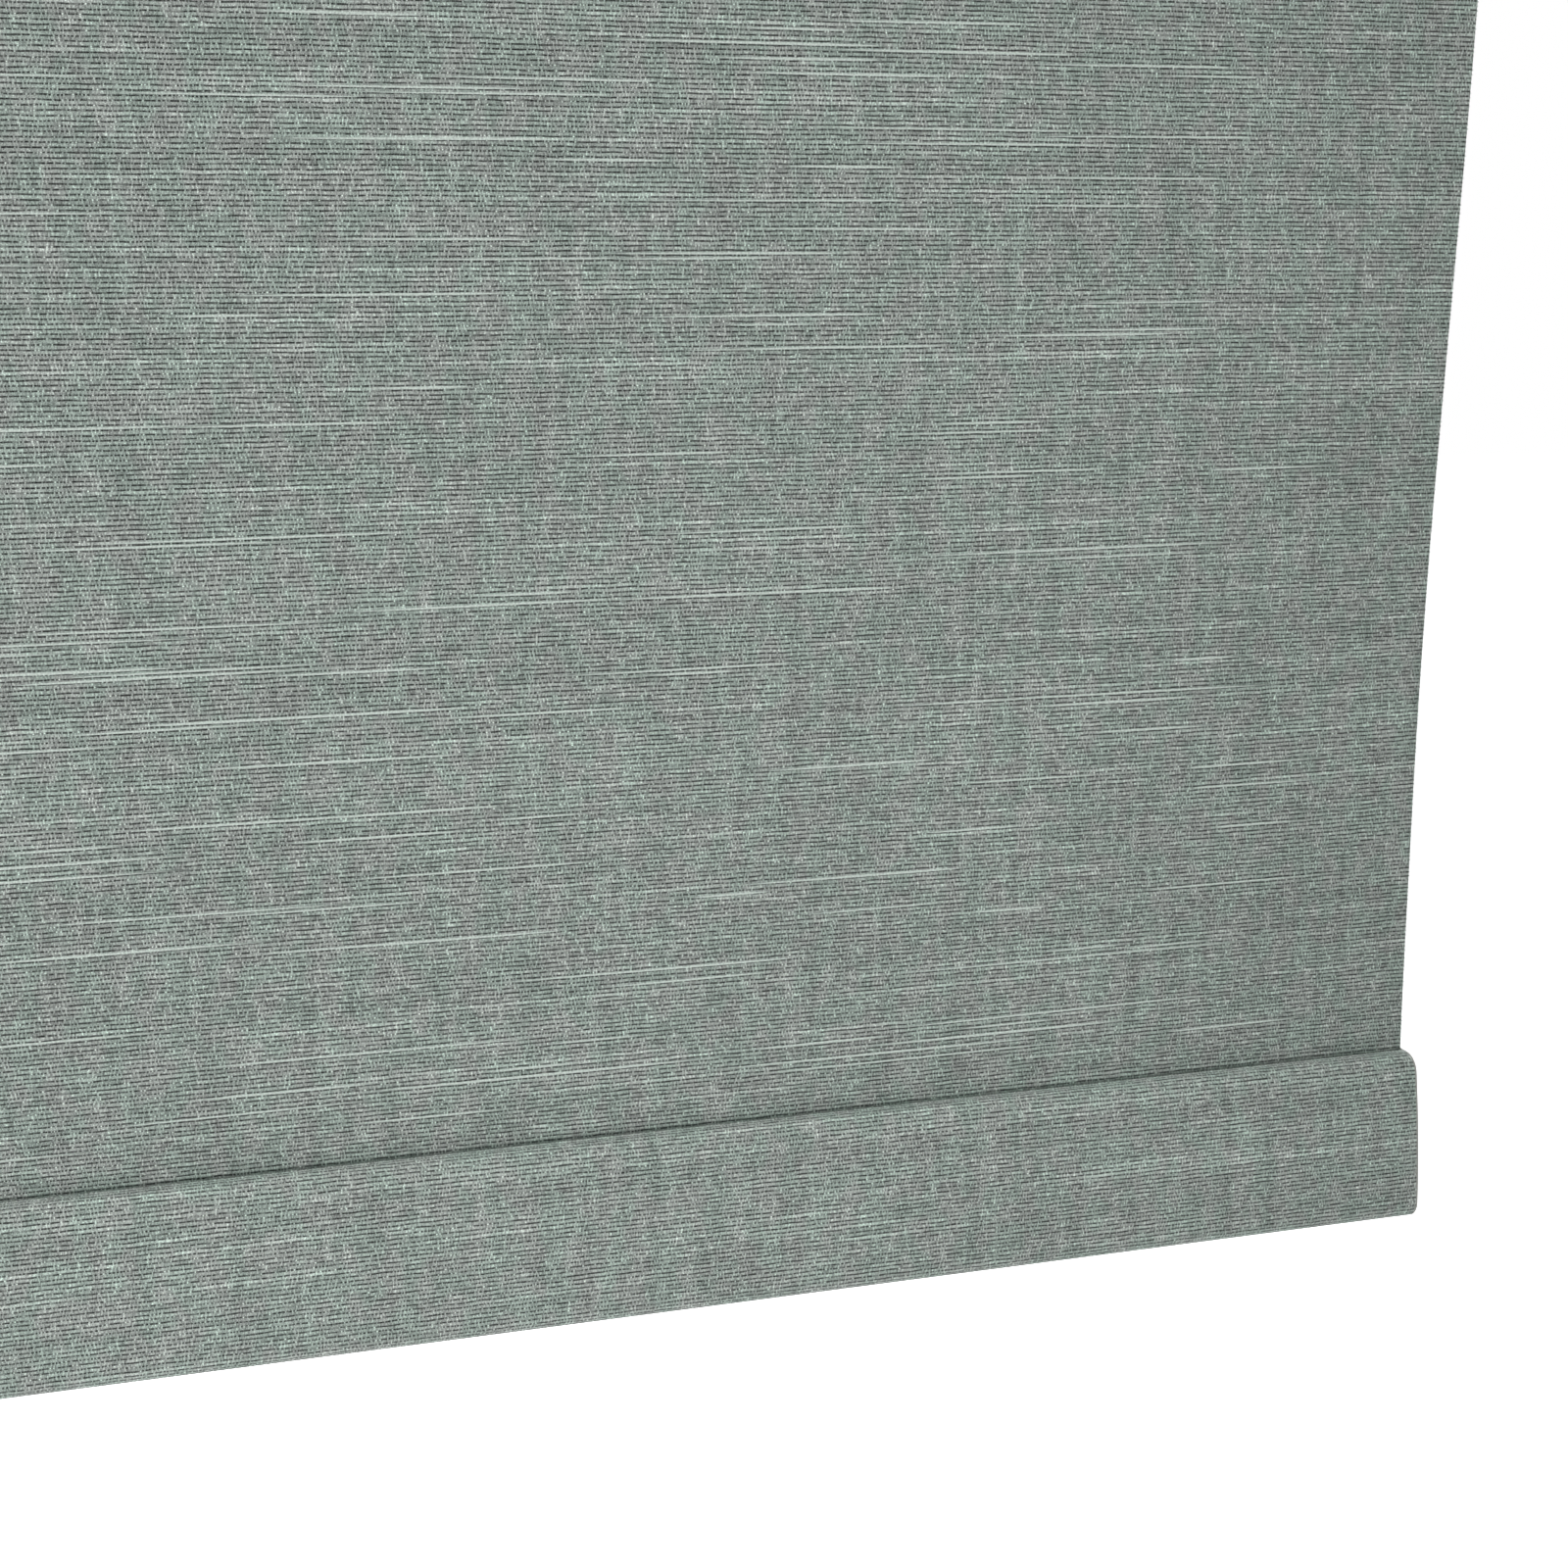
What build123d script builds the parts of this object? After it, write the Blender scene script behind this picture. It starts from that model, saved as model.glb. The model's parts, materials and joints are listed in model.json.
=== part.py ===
from build123d import *
import os

# Spring roller blind without a cord, hung on two brackets. Millimetres.
# +X is to the right seen from the room, +Y goes into the wall, +Z is up.
# The origin is the centre of the four wall screw holes, on the wall face.

os.makedirs("parts", exist_ok=True)

# Cloth
fabric_width = 600.0
fabric_thickness = 0.4
roll_thickness = 0.78
running_gap = 0.3

# Roller tube, an aluminium extrusion with a spline channel and two keys inside
tube_axis_y = -30.0
tube_radius = 16.0
tube_wall = 1.2
tube_overhang = 1.0
channel_width = 4.0
channel_depth = 2.2
channel_slit = 1.6
channel_wall = 1.0
key_width = 2.0
key_height = 1.6
key_angles = (120, 240)
plug_gap = 0.03
key_gap = 0.05

# Round fits
bearing_gap = 0.05
press_gap = 0.02

# Steel brackets
bracket_thickness = 2.0
bracket_depth = 52.0
bracket_half_height = 26.0
arm_inner_x = 311.0
flange_inner_x = 285.0
bracket_nose_radius = 8.0
flange_corner_radius = 3.0
flange_relief = 5.0
top_flange_depth = 46.0
screw_hole_radius = 2.25
screw_hole_x = 297.0
wall_hole_spacing = 32.0
ceiling_hole_spacing = 20.0
ceiling_hole_y = -23.0

# Bracket covers, moulded shells open to the wall, the ceiling and the roller
cover_wall = 1.5
cover_outer_x = 321.0
cover_inner_x = 309.0
cover_depth = 55.0
cover_drop = 29.0
cover_corner_radius = 10.0
cover_top_radius = 3.0
cover_edge_radius = 1.2
post_radius = 2.0
post_places = ((-14.0, 18.0), (-14.0, -18.0), (-46.0, -18.0))
clip_hook = 1.0
clip_length = 8.0

# Spring side: gudgeon with a flat blade that the slotted bracket keeps from turning
blade_width = 12.0
blade_thickness = 3.2
blade_end_x = 315.5
gudgeon_flange_radius = 14.0
gudgeon_flange_start = 304.4
gudgeon_flange_end = 307.4
journal_radius = 7.0
journal_end = 284.0
ring_start = 285.4
ring_end = 286.4
ring_groove_depth = 0.7
ring_outer_radius = 8.3
ring_opening = 5.0
drum_radius = 6.0
drum_end = 272.0
rod_radius = 3.0
rod_start = 36.0
rod_end = 290.0

# Plugs inside the tube
plug_flange_radius = 15.8
plug_flange_thickness = 3.0
crown_end = 271.0
crown_bearing_end = 287.0
crown_chamber_radius = 8.6
drive_plug_start = 248.0
drive_plug_end = 266.0
drive_boss_start = 236.0
steady_start = 38.0
steady_end = 48.0
anchor_start = 52.0
anchor_end = 60.0
anchor_boss_end = 72.0
anchor_radius = 10.8
anchor_pin_radius = 1.0
anchor_pin_length = 20.0
spring_boss_radius = 8.0

# Torsion spring and brake spring, (mean radius, wire radius, pitch)
torsion_coil = (9.0, 0.8, 2.0)
torsion_start = 62.0
torsion_turns = 91
brake_coil = (6.75, 0.45, 1.0)
brake_start = 274.0
brake_turns = 9
brake_leg_reach = 10.0

# Slot lock on the outer face of the right bracket
lock_front_y = -46.0
lock_back_y = -39.0
lock_bottom_z = -7.0
lock_top_z = 15.0
lock_thickness = 1.5
lock_gap = 0.15
lock_slot_width = 3.4
lock_travel = 9.0
rivet_radius = 1.5
rivet_z = 11.0
rivet_head_radius = 3.0
rivet_head_thickness = 1.0
rivet_tail_thickness = 0.8

# Idle side: spring-loaded pin that turns in a bush in the left bracket
pin_radius = 3.0
pin_tip_x = -315.0
pin_collar_start = -298.8
pin_collar_end = -295.8
pin_collar_radius = 4.9
pin_tail_radius = 2.0
pin_tail_end = -284.0
chamber_start = -299.0
chamber_radius = 5.2
idle_plug_end = -266.0
idle_cap_start = -270.0
pin_coil = (3.4, 0.4, 2.5)
pin_coil_start = -295.4
pin_coil_turns = 10
bush_radius = 5.0
bush_flange_radius = 7.0
bush_flange_thickness = 1.2

# Bottom rail, given as depth in front of the cloth and distance below the rail's top
rail_top_z = -940.5
rail_height = 32.8
rail_back_depth = -3.4
rail_front_top = (5.25, 0.0)
rail_front_middle = (7.95, 15.3)
rail_front_bottom = (9.6, rail_height)
rail_front_top_radius = 4.0
rail_front_bottom_radius = 3.4
rail_back_radius = 1.7
wrap_thickness = 0.45
rail_wall = 1.2
rail_slit = (-0.9, 0.5)
wrap_slit = (-0.7, 0.3)
rail_channel = (-1.73, 1.8)
rail_channel_top = 1.9
rail_channel_bottom = 6.4
rail_spline_radius = 1.5
rail_spline_drop = 4.2
panel_end_drop = 2.6
weight_depth = (-1.5, 1.5)
weight_drop = (11.0, 31.0)
weight_length = 560.0
cap_thickness = 0.5
cap_boss_length = 8.0
cap_boss_gap = 0.12

half_width = fabric_width / 2
tube_half = half_width + tube_overhang
tube_bore = tube_radius - tube_wall
arm_outer_x = arm_inner_x + bracket_thickness
channel_roof = tube_radius - channel_wall
channel_floor = channel_roof - channel_depth - channel_wall
roll_inner_radius = tube_radius + press_gap
roll_outer_radius = roll_inner_radius + roll_thickness
fabric_front_y = tube_axis_y + roll_outer_radius + running_gap
lock_start_x = arm_outer_x + lock_gap
lock_end_x = lock_start_x + lock_thickness
lock_middle_y = (lock_front_y + lock_back_y) / 2


def across(x, y=0.0):
    """Plane that faces +X at x: its own X is the object's Y, its own Y is the object's Z."""
    return Plane(origin=(x, y, 0), x_dir=(0, 1, 0), z_dir=(1, 0, 0))


def turned(radius, start_x, end_x):
    """Round bar on the roller's axis."""
    return extrude(across(start_x, tube_axis_y) * Circle(radius), amount=end_x - start_x)


def block(x_range, y_range, z_range):
    """Straight block between two places along each axis."""
    size = [high - low for low, high in (x_range, y_range, z_range)]
    centre = [(high + low) / 2 for low, high in (x_range, y_range, z_range)]
    return Pos(*centre) * Box(*size)


def area(y_range, z_range):
    """Flat rectangle in the plane that faces +X."""
    width = y_range[1] - y_range[0]
    height = z_range[1] - z_range[0]
    return Pos((y_range[0] + y_range[1]) / 2, (z_range[0] + z_range[1]) / 2) * Rectangle(width, height)


def rounded(face, corner, radius):
    """Rounds the corner of a flat face that is nearest to a place."""
    return fillet(face.vertices().sort_by_distance(corner)[0], radius)


def drill_x(radius, y, z, x_range):
    """Round bar along X at a place beside the roller's axis."""
    return extrude(across(x_range[0]) * Pos(y, z) * Circle(radius), amount=x_range[1] - x_range[0])


def coil(mean_radius, wire_radius, pitch, turns, start_x):
    """Round wire wound along the roller's axis."""
    line = Helix(pitch=pitch, height=pitch * turns, radius=mean_radius)
    wire = sweep(Plane(origin=line @ 0, z_dir=line % 0) * Circle(wire_radius), path=line, is_frenet=True)
    return across(start_x, tube_axis_y) * wire


# Roller

def channel_block(gap=0.0):
    """Outline of the spline channel's walls, at the top of the tube."""
    half = channel_width / 2 + channel_wall + gap
    return area((-half, half), (channel_floor - gap, tube_radius))


def key_outline(gap=0.0):
    """Outline of the two keys inside the tube."""
    inner = tube_bore - key_height - gap
    key = area((inner, tube_radius - tube_wall / 2), (-key_width / 2 - gap, key_width / 2 + gap))
    return [Rot(0, 0, 90 + angle) * key for angle in key_angles]


def roller_tube():
    section = Circle(tube_radius) - Circle(tube_bore)
    section += channel_block() & Circle(tube_radius)
    section += key_outline()
    half = channel_width / 2
    section -= area((-half, half), (channel_roof - channel_depth, channel_roof))
    section -= area((-channel_slit / 2, channel_slit / 2), (channel_roof - 0.1, tube_radius + 0.1))
    return extrude(across(-tube_half, tube_axis_y) * section, amount=2 * tube_half)


def keyed_plug(start_x, end_x):
    """Plug that fills the tube, with grooves for its channel and keys."""
    section = Circle(tube_bore - plug_gap) - channel_block(key_gap)
    section -= key_outline(key_gap)
    return extrude(across(start_x, tube_axis_y) * section, amount=end_x - start_x)


def fabric_spline():
    height = channel_depth - 0.4
    top = channel_roof - plug_gap
    width = channel_width - 0.4
    section = area((-width / 2, width / 2), (top - height, top))
    return extrude(across(-half_width, tube_axis_y) * section, amount=fabric_width)


def fabric_roll():
    return turned(roll_outer_radius, -half_width, half_width) - turned(roll_inner_radius, -tube_half, tube_half)


def drive_crown():
    flange_end = tube_half + plug_flange_thickness
    body = turned(plug_flange_radius, tube_half, flange_end) + keyed_plug(crown_end, tube_half)
    body -= turned(journal_radius + bearing_gap, crown_bearing_end - 1, flange_end + 1)
    body -= turned(crown_chamber_radius, crown_end - 1, crown_bearing_end)
    return body - brake_leg(brake_coil[1] + key_gap)


def brake_leg(radius):
    """Straight end of the brake spring, which points away from the axis."""
    leg = Cylinder(radius, brake_leg_reach - brake_coil[0], align=(Align.CENTER, Align.CENTER, Align.MIN))
    return across(brake_start, tube_axis_y) * Pos(brake_coil[0], 0, 0) * Rot(0, 90, 0) * leg


def brake_spring():
    return coil(*brake_coil, brake_turns, brake_start) + brake_leg(brake_coil[1])


def spring_drive_plug():
    body = keyed_plug(drive_plug_start, drive_plug_end)
    body += turned(spring_boss_radius, drive_boss_start, drive_plug_start)
    return body - turned(rod_radius + bearing_gap, drive_boss_start - 1, drive_plug_end + 1)


def rod_steady_bush():
    return keyed_plug(steady_start, steady_end) - turned(rod_radius + bearing_gap, steady_start, steady_end)


# Idle side

def idle_plug():
    flange_end = -tube_half - plug_flange_thickness
    body = turned(plug_flange_radius, -tube_half, flange_end) + keyed_plug(-tube_half, idle_plug_end)
    body -= turned(pin_radius + bearing_gap, flange_end - 1, chamber_start + 1)
    return body - turned(chamber_radius, chamber_start, idle_plug_end + 1)


def idle_plug_cap():
    return turned(chamber_radius - plug_gap, idle_cap_start, idle_plug_end)


def idle_pin():
    shaft = turned(pin_radius, pin_tip_x, pin_collar_end)
    shaft = chamfer(shaft.faces().sort_by(Axis.X)[0].edges(), 0.8)
    collar = turned(pin_collar_radius, pin_collar_start, pin_collar_end)
    return shaft + collar + turned(pin_tail_radius, pin_collar_end, pin_tail_end)


def idle_pin_spring():
    return coil(*pin_coil, pin_coil_turns, pin_coil_start)


def bracket_bush():
    outer_x = -arm_outer_x - bush_flange_thickness
    bush = turned(bush_radius, -arm_outer_x, -arm_inner_x)
    bush += turned(bush_flange_radius, outer_x, -arm_outer_x)
    return bush - turned(pin_radius + bearing_gap, outer_x - 1, -arm_inner_x + 1)


# Spring side

def spring_gudgeon():
    body = turned(gudgeon_flange_radius, gudgeon_flange_start, gudgeon_flange_end)
    body += turned(journal_radius, journal_end, gudgeon_flange_start)
    body += turned(drum_radius, drum_end, journal_end)
    blade_y = (tube_axis_y - blade_width / 2, tube_axis_y + blade_width / 2)
    blade = block((gudgeon_flange_end, blade_end_x), blade_y, (-blade_thickness / 2, blade_thickness / 2))
    body += chamfer(blade.faces().sort_by(Axis.X)[-1].edges(), 0.6)
    groove = turned(journal_radius, ring_start - press_gap, ring_end + press_gap)
    groove -= turned(journal_radius - ring_groove_depth, ring_start - 1, ring_end + 1)
    body -= groove
    return body - turned(rod_radius + press_gap, drum_end - 1, rod_end + press_gap)


def gudgeon_ring():
    inner_radius = journal_radius - ring_groove_depth + press_gap
    ring = turned(ring_outer_radius, ring_start, ring_end) - turned(inner_radius, ring_start, ring_end)
    opening_y = (tube_axis_y - ring_opening / 2, tube_axis_y + ring_opening / 2)
    return ring - block((ring_start - 1, ring_end + 1), opening_y, (-ring_outer_radius, 0))


def anchor_pin(radius=anchor_pin_radius):
    middle_x = (anchor_start + anchor_end) / 2
    return Pos(middle_x, tube_axis_y, 0) * Cylinder(radius, anchor_pin_length)


def spring_rod():
    return turned(rod_radius, rod_start, rod_end) - anchor_pin(anchor_pin_radius + press_gap)


def spring_anchor_plug():
    plug = turned(anchor_radius, anchor_start, anchor_end)
    plug += turned(spring_boss_radius, anchor_end, anchor_boss_end)
    plug -= turned(rod_radius + press_gap, anchor_start - 1, anchor_boss_end + 1)
    return plug - anchor_pin(anchor_pin_radius + press_gap)


def torsion_spring():
    return coil(*torsion_coil, torsion_turns, torsion_start)


# Brackets

def bracket_blank():
    """Folded steel bracket for the right end: an arm, a wall flange and a ceiling flange."""
    arm_outline = area((-bracket_depth, 0), (-bracket_half_height, bracket_half_height))
    for z in (-bracket_half_height, bracket_half_height):
        arm_outline = rounded(arm_outline, (-bracket_depth, z), bracket_nose_radius)
    arm = extrude(across(arm_inner_x) * arm_outline, amount=bracket_thickness)
    flange_x = (flange_inner_x, arm_inner_x)
    wall_z = (-bracket_half_height, bracket_half_height - flange_relief)
    wall_flange = block(flange_x, (-bracket_thickness, 0), wall_z)
    wall_corners = wall_flange.edges().filter_by(Axis.Y).group_by(Axis.X)[0]
    wall_flange = fillet(wall_corners, flange_corner_radius)
    top_y = (-top_flange_depth, -flange_relief)
    top_flange = block(flange_x, top_y, (bracket_half_height - bracket_thickness, bracket_half_height))
    top_corners = top_flange.edges().filter_by(Axis.Z).group_by(Axis.X)[0]
    top_flange = fillet(top_corners, flange_corner_radius)
    body = arm + wall_flange + top_flange
    bends = body.edges().filter_by(Axis.Z).filter_by_position(Axis.X, arm_outer_x - 0.1, arm_outer_x + 0.1)
    bends = bends.filter_by_position(Axis.Y, -0.1, 0.1)
    body = fillet(bends, bracket_thickness * 0.8)
    for side in (-1, 1):
        wall_hole = Pos(screw_hole_x, 0, side * wall_hole_spacing / 2) * Rot(90, 0, 0)
        body -= wall_hole * Cylinder(screw_hole_radius, 4 * bracket_thickness)
        ceiling_hole = Pos(screw_hole_x, ceiling_hole_y + side * ceiling_hole_spacing / 2, bracket_half_height)
        body -= ceiling_hole * Cylinder(screw_hole_radius, 4 * bracket_thickness)
    return body


def bracket_right():
    """Bracket with a slot, open at the nose, that the gudgeon's blade slides into."""
    slot_end_y = tube_axis_y + blade_width / 2 + bearing_gap
    half_slot = blade_thickness / 2 + bearing_gap
    outline = area((-bracket_depth - 1, slot_end_y), (-half_slot, half_slot))
    mouth = Polygon((-bracket_depth - 1, half_slot + 3), (-bracket_depth - 1, -half_slot - 3),
                    (-bracket_depth + 3, -half_slot), (-bracket_depth + 3, half_slot), align=None)
    slot = extrude(across(arm_inner_x - 1) * (outline + mouth), amount=bracket_thickness + 2)
    rivet_hole = drill_x(rivet_radius + press_gap, lock_middle_y, rivet_z, (arm_inner_x - 1, arm_outer_x + 1))
    return bracket_blank() - slot - rivet_hole


def bracket_left():
    """Bracket with a round hole for the bush."""
    hole = turned(bush_radius + press_gap, -arm_outer_x - 1, -arm_inner_x + 1)
    return mirror(bracket_blank(), about=Plane.YZ) - hole


def slot_lock():
    """Slide that closes the slot's mouth, guided by the rivet in its own slot."""
    plate_outline = area((lock_front_y, lock_back_y), (lock_bottom_z, lock_top_z))
    plate_outline = fillet(plate_outline.vertices(), 1.5)
    guide_top = rivet_z + 0.1
    guide_length = lock_travel + 0.2
    guide = Pos(lock_middle_y, guide_top - guide_length / 2) * Rot(0, 0, 90)
    guide *= SlotCenterToCenter(guide_length, lock_slot_width)
    return extrude(across(lock_start_x) * (plate_outline - guide), amount=lock_thickness)


def lock_rivet():
    head_x = lock_end_x + lock_gap
    tail_x = arm_inner_x - rivet_tail_thickness
    rivet = drill_x(rivet_radius, lock_middle_y, rivet_z, (tail_x, head_x))
    rivet += drill_x(rivet_head_radius, lock_middle_y, rivet_z, (head_x, head_x + rivet_head_thickness))
    return rivet + drill_x(rivet_head_radius - 0.2, lock_middle_y, rivet_z, (tail_x, arm_inner_x))


def bracket_cover_right():
    """Moulded cover: an outer face with a front and a lower skirt, posts and two clips."""
    outline = area((-cover_depth, 0), (-cover_drop, bracket_half_height))
    outline = rounded(outline, (-cover_depth, -cover_drop), cover_corner_radius)
    outline = rounded(outline, (-cover_depth, bracket_half_height), cover_top_radius)
    front_y = -cover_depth + cover_wall
    bottom_z = -cover_drop + cover_wall
    hollow = area((front_y, 1), (bottom_z, bracket_half_height + 1))
    hollow = rounded(hollow, (front_y, bottom_z), cover_corner_radius - cover_wall)
    shell = extrude(across(cover_inner_x) * outline, amount=cover_outer_x - cover_inner_x)
    shell = fillet(shell.faces().sort_by(Axis.X)[-1].edges(), cover_edge_radius)
    face_x = cover_outer_x - cover_wall
    shell -= extrude(across(cover_inner_x) * hollow, amount=face_x - cover_inner_x)
    for y, z in post_places:
        shell += drill_x(post_radius, y, z, (arm_outer_x + plug_gap, face_x + cover_wall / 2))
    clip_x = (cover_inner_x, arm_inner_x - key_gap)
    front_clip_y = (-cover_depth + cover_wall / 2, -bracket_depth + clip_hook)
    shell += block(clip_x, front_clip_y, (-6 - clip_length, -6))
    bottom_clip_z = (-cover_drop + cover_wall / 2, -bracket_half_height + clip_hook)
    return shell + block(clip_x, (-22 - clip_length, -22), bottom_clip_z)


# Bottom rail

def rail_place(depth, drop):
    """A place on the rail's section as Y and Z."""
    return (fabric_front_y - depth, rail_top_z - drop)


def rail_area(depths, drops):
    """Rectangle on the rail's section."""
    y_range = (fabric_front_y - depths[1], fabric_front_y - depths[0])
    return area(y_range, (rail_top_z - drops[1], rail_top_z - drops[0]))


def rail_outline(inset=0.0):
    """Outline of the bottom rail: flat back, leaning and gently bulging front."""
    back_top = rail_place(rail_back_depth, 0)
    back_bottom = rail_place(rail_back_depth, rail_height)
    front_top = rail_place(*rail_front_top)
    front_middle = rail_place(*rail_front_middle)
    front_bottom = rail_place(*rail_front_bottom)
    sides = [Line(back_top, front_top), ThreePointArc(front_top, front_middle, front_bottom),
             Line(front_bottom, back_bottom), Line(back_bottom, back_top)]
    face = make_face(sides)
    face = rounded(face, front_top, rail_front_top_radius)
    face = rounded(face, front_bottom, rail_front_bottom_radius)
    face = rounded(face, back_bottom, rail_back_radius)
    face = rounded(face, back_top, rail_back_radius)
    if inset:
        face = offset(face, amount=-inset)
    return face


def rail_hollow():
    """Section of the rail's empty inside, below and in front of the spline channel."""
    inside = rail_outline(wrap_thickness + press_gap + rail_wall)
    walls = (rail_back_depth, rail_channel[1] + channel_wall)
    return inside - rail_area(walls, (0, rail_channel_bottom + channel_wall))


def along_rail(section, start_x=-half_width, end_x=half_width):
    return extrude(across(start_x) * section, amount=end_x - start_x)


def hem_bar():
    section = rail_outline(wrap_thickness + press_gap) - rail_hollow()
    section -= rail_area(rail_channel, (rail_channel_top, rail_channel_bottom))
    section -= rail_area(rail_slit, (-1, rail_channel_top + 0.1))
    return along_rail(section)


def hem_wrap():
    section = rail_outline() - rail_outline(wrap_thickness)
    return along_rail(section - rail_area(wrap_slit, (-1, wrap_thickness + 0.1)))


def hem_spline():
    middle_depth = (rail_slit[0] + rail_slit[1]) / 2
    return along_rail(Pos(*rail_place(middle_depth, rail_spline_drop)) * Circle(rail_spline_radius))


def hem_weight():
    return along_rail(rail_area(weight_depth, weight_drop), -weight_length / 2, weight_length / 2)


def hem_cap_right():
    boss = along_rail(offset(rail_hollow(), amount=-cap_boss_gap), half_width - cap_boss_length, half_width)
    flange = along_rail(rail_outline(), half_width, half_width + cap_thickness)
    rim = flange.faces().sort_by(Axis.X)[-1].edges()
    return chamfer(rim, cap_thickness / 3) + boss


def fabric_panel():
    """The hanging cloth, from the back of the roll down into the rail."""
    cloth_y = (fabric_front_y, fabric_front_y + fabric_thickness)
    return block((-half_width, half_width), cloth_y, (rail_top_z - panel_end_drop, 0))


parts = {
    "bracket_left": bracket_left(),
    "bracket_right": bracket_right(),
    "bracket_bush": bracket_bush(),
    "bracket_cover_left": mirror(bracket_cover_right(), about=Plane.YZ),
    "bracket_cover_right": bracket_cover_right(),
    "slot_lock": slot_lock(),
    "lock_rivet": lock_rivet(),
    "spring_gudgeon": spring_gudgeon(),
    "gudgeon_ring": gudgeon_ring(),
    "spring_rod": spring_rod(),
    "spring_anchor_plug": spring_anchor_plug(),
    "anchor_pin": anchor_pin(),
    "torsion_spring": torsion_spring(),
    "roller_tube": roller_tube(),
    "fabric_spline": fabric_spline(),
    "fabric_roll": fabric_roll(),
    "drive_crown": drive_crown(),
    "brake_spring": brake_spring(),
    "spring_drive_plug": spring_drive_plug(),
    "rod_steady_bush": rod_steady_bush(),
    "idle_plug": idle_plug(),
    "idle_plug_cap": idle_plug_cap(),
    "idle_pin_spring": idle_pin_spring(),
    "idle_pin": idle_pin(),
    "fabric_panel": fabric_panel(),
    "hem_bar": hem_bar(),
    "hem_weight": hem_weight(),
    "hem_spline": hem_spline(),
    "hem_wrap": hem_wrap(),
    "hem_cap_left": mirror(hem_cap_right(), about=Plane.YZ),
    "hem_cap_right": hem_cap_right(),
}

for name, part in parts.items():
    export_step(part, f"parts/{name}.step")
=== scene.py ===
import bpy
import json
import math
import random
from mathutils import Matrix, Vector


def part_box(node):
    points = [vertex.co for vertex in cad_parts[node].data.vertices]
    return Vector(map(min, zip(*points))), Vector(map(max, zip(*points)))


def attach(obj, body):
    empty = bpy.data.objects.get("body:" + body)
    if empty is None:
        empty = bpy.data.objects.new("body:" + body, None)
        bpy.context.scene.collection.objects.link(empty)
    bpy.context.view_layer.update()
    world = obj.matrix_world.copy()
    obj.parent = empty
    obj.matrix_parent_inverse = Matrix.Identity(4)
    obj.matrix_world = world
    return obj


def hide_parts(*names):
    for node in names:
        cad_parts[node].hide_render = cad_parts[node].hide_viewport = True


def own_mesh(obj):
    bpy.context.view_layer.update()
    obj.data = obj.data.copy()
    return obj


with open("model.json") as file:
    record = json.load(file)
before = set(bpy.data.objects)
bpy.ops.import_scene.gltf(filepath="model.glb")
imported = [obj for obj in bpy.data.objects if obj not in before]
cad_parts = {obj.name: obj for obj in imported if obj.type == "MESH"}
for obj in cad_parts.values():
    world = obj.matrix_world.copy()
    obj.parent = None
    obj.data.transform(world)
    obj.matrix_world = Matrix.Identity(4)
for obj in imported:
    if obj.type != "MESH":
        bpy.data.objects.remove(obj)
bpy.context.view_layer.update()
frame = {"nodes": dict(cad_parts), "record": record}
print("frame loaded:", len(frame["nodes"]), "nodes")

millimetre = 0.001
panelLow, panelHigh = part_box("fabric_panel")
rollLow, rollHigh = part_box("fabric_roll")
tubeLow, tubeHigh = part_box("roller_tube")
wrapLow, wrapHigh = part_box("hem_wrap")
clothWidth = panelHigh.x - panelLow.x
clothThickness = panelHigh.y - panelLow.y
clothMiddleY = (panelLow.y + panelHigh.y) / 2
hangingLength = panelHigh.z - wrapHigh.z        # from the roll down to the rail's top


# small helpers for node trees

def feed(tree, value, socket):
    if isinstance(value, bpy.types.NodeSocket):
        tree.links.new(value, socket)
    else:
        socket.default_value = value


def maths(tree, operation, *values):
    node = tree.nodes.new("ShaderNodeMath")
    node.operation = operation
    for value, socket in zip(values, node.inputs):
        feed(tree, value, socket)
    return node.outputs[0]


def add(tree, *values):
    total = values[0]
    for value in values[1:]:
        total = maths(tree, "ADD", total, value)
    return total


def times(tree, *values):
    total = values[0]
    for value in values[1:]:
        total = maths(tree, "MULTIPLY", total, value)
    return total


def minus(tree, a, b):
    return maths(tree, "SUBTRACT", a, b)


def ramp(tree, value, low, high):
    # 0 below low, 1 above high, smooth between
    node = tree.nodes.new("ShaderNodeMapRange")
    node.interpolation_type = "SMOOTHSTEP"
    for name, setting in (("Value", value), ("From Min", low), ("From Max", high)):
        feed(tree, setting, node.inputs[name])
    return node.outputs[0]


def pair(tree, x, y, z=0.0):
    node = tree.nodes.new("ShaderNodeCombineXYZ")
    for value, socket in zip((x, y, z), node.inputs):
        feed(tree, value, socket)
    return node.outputs[0]


def noise(tree, x, y, detail=0.0):
    node = tree.nodes.new("ShaderNodeTexNoise")
    node.noise_dimensions = "2D"
    node.inputs["Scale"].default_value = 1.0
    node.inputs["Detail"].default_value = detail
    feed(tree, pair(tree, x, y), node.inputs["Vector"])
    return node.outputs[0]


def whiteNoise(tree, x, y):
    node = tree.nodes.new("ShaderNodeTexWhiteNoise")
    node.noise_dimensions = "2D"
    feed(tree, pair(tree, x, y), node.inputs["Vector"])
    return node.outputs["Value"]


def mixColour(tree, factor, a, b, blend="MIX"):
    node = tree.nodes.new("ShaderNodeMix")
    node.data_type = "RGBA"
    node.blend_type = blend
    feed(tree, factor, node.inputs[0])
    feed(tree, a, node.inputs[6])
    feed(tree, b, node.inputs[7])
    return node.outputs[2]


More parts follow.
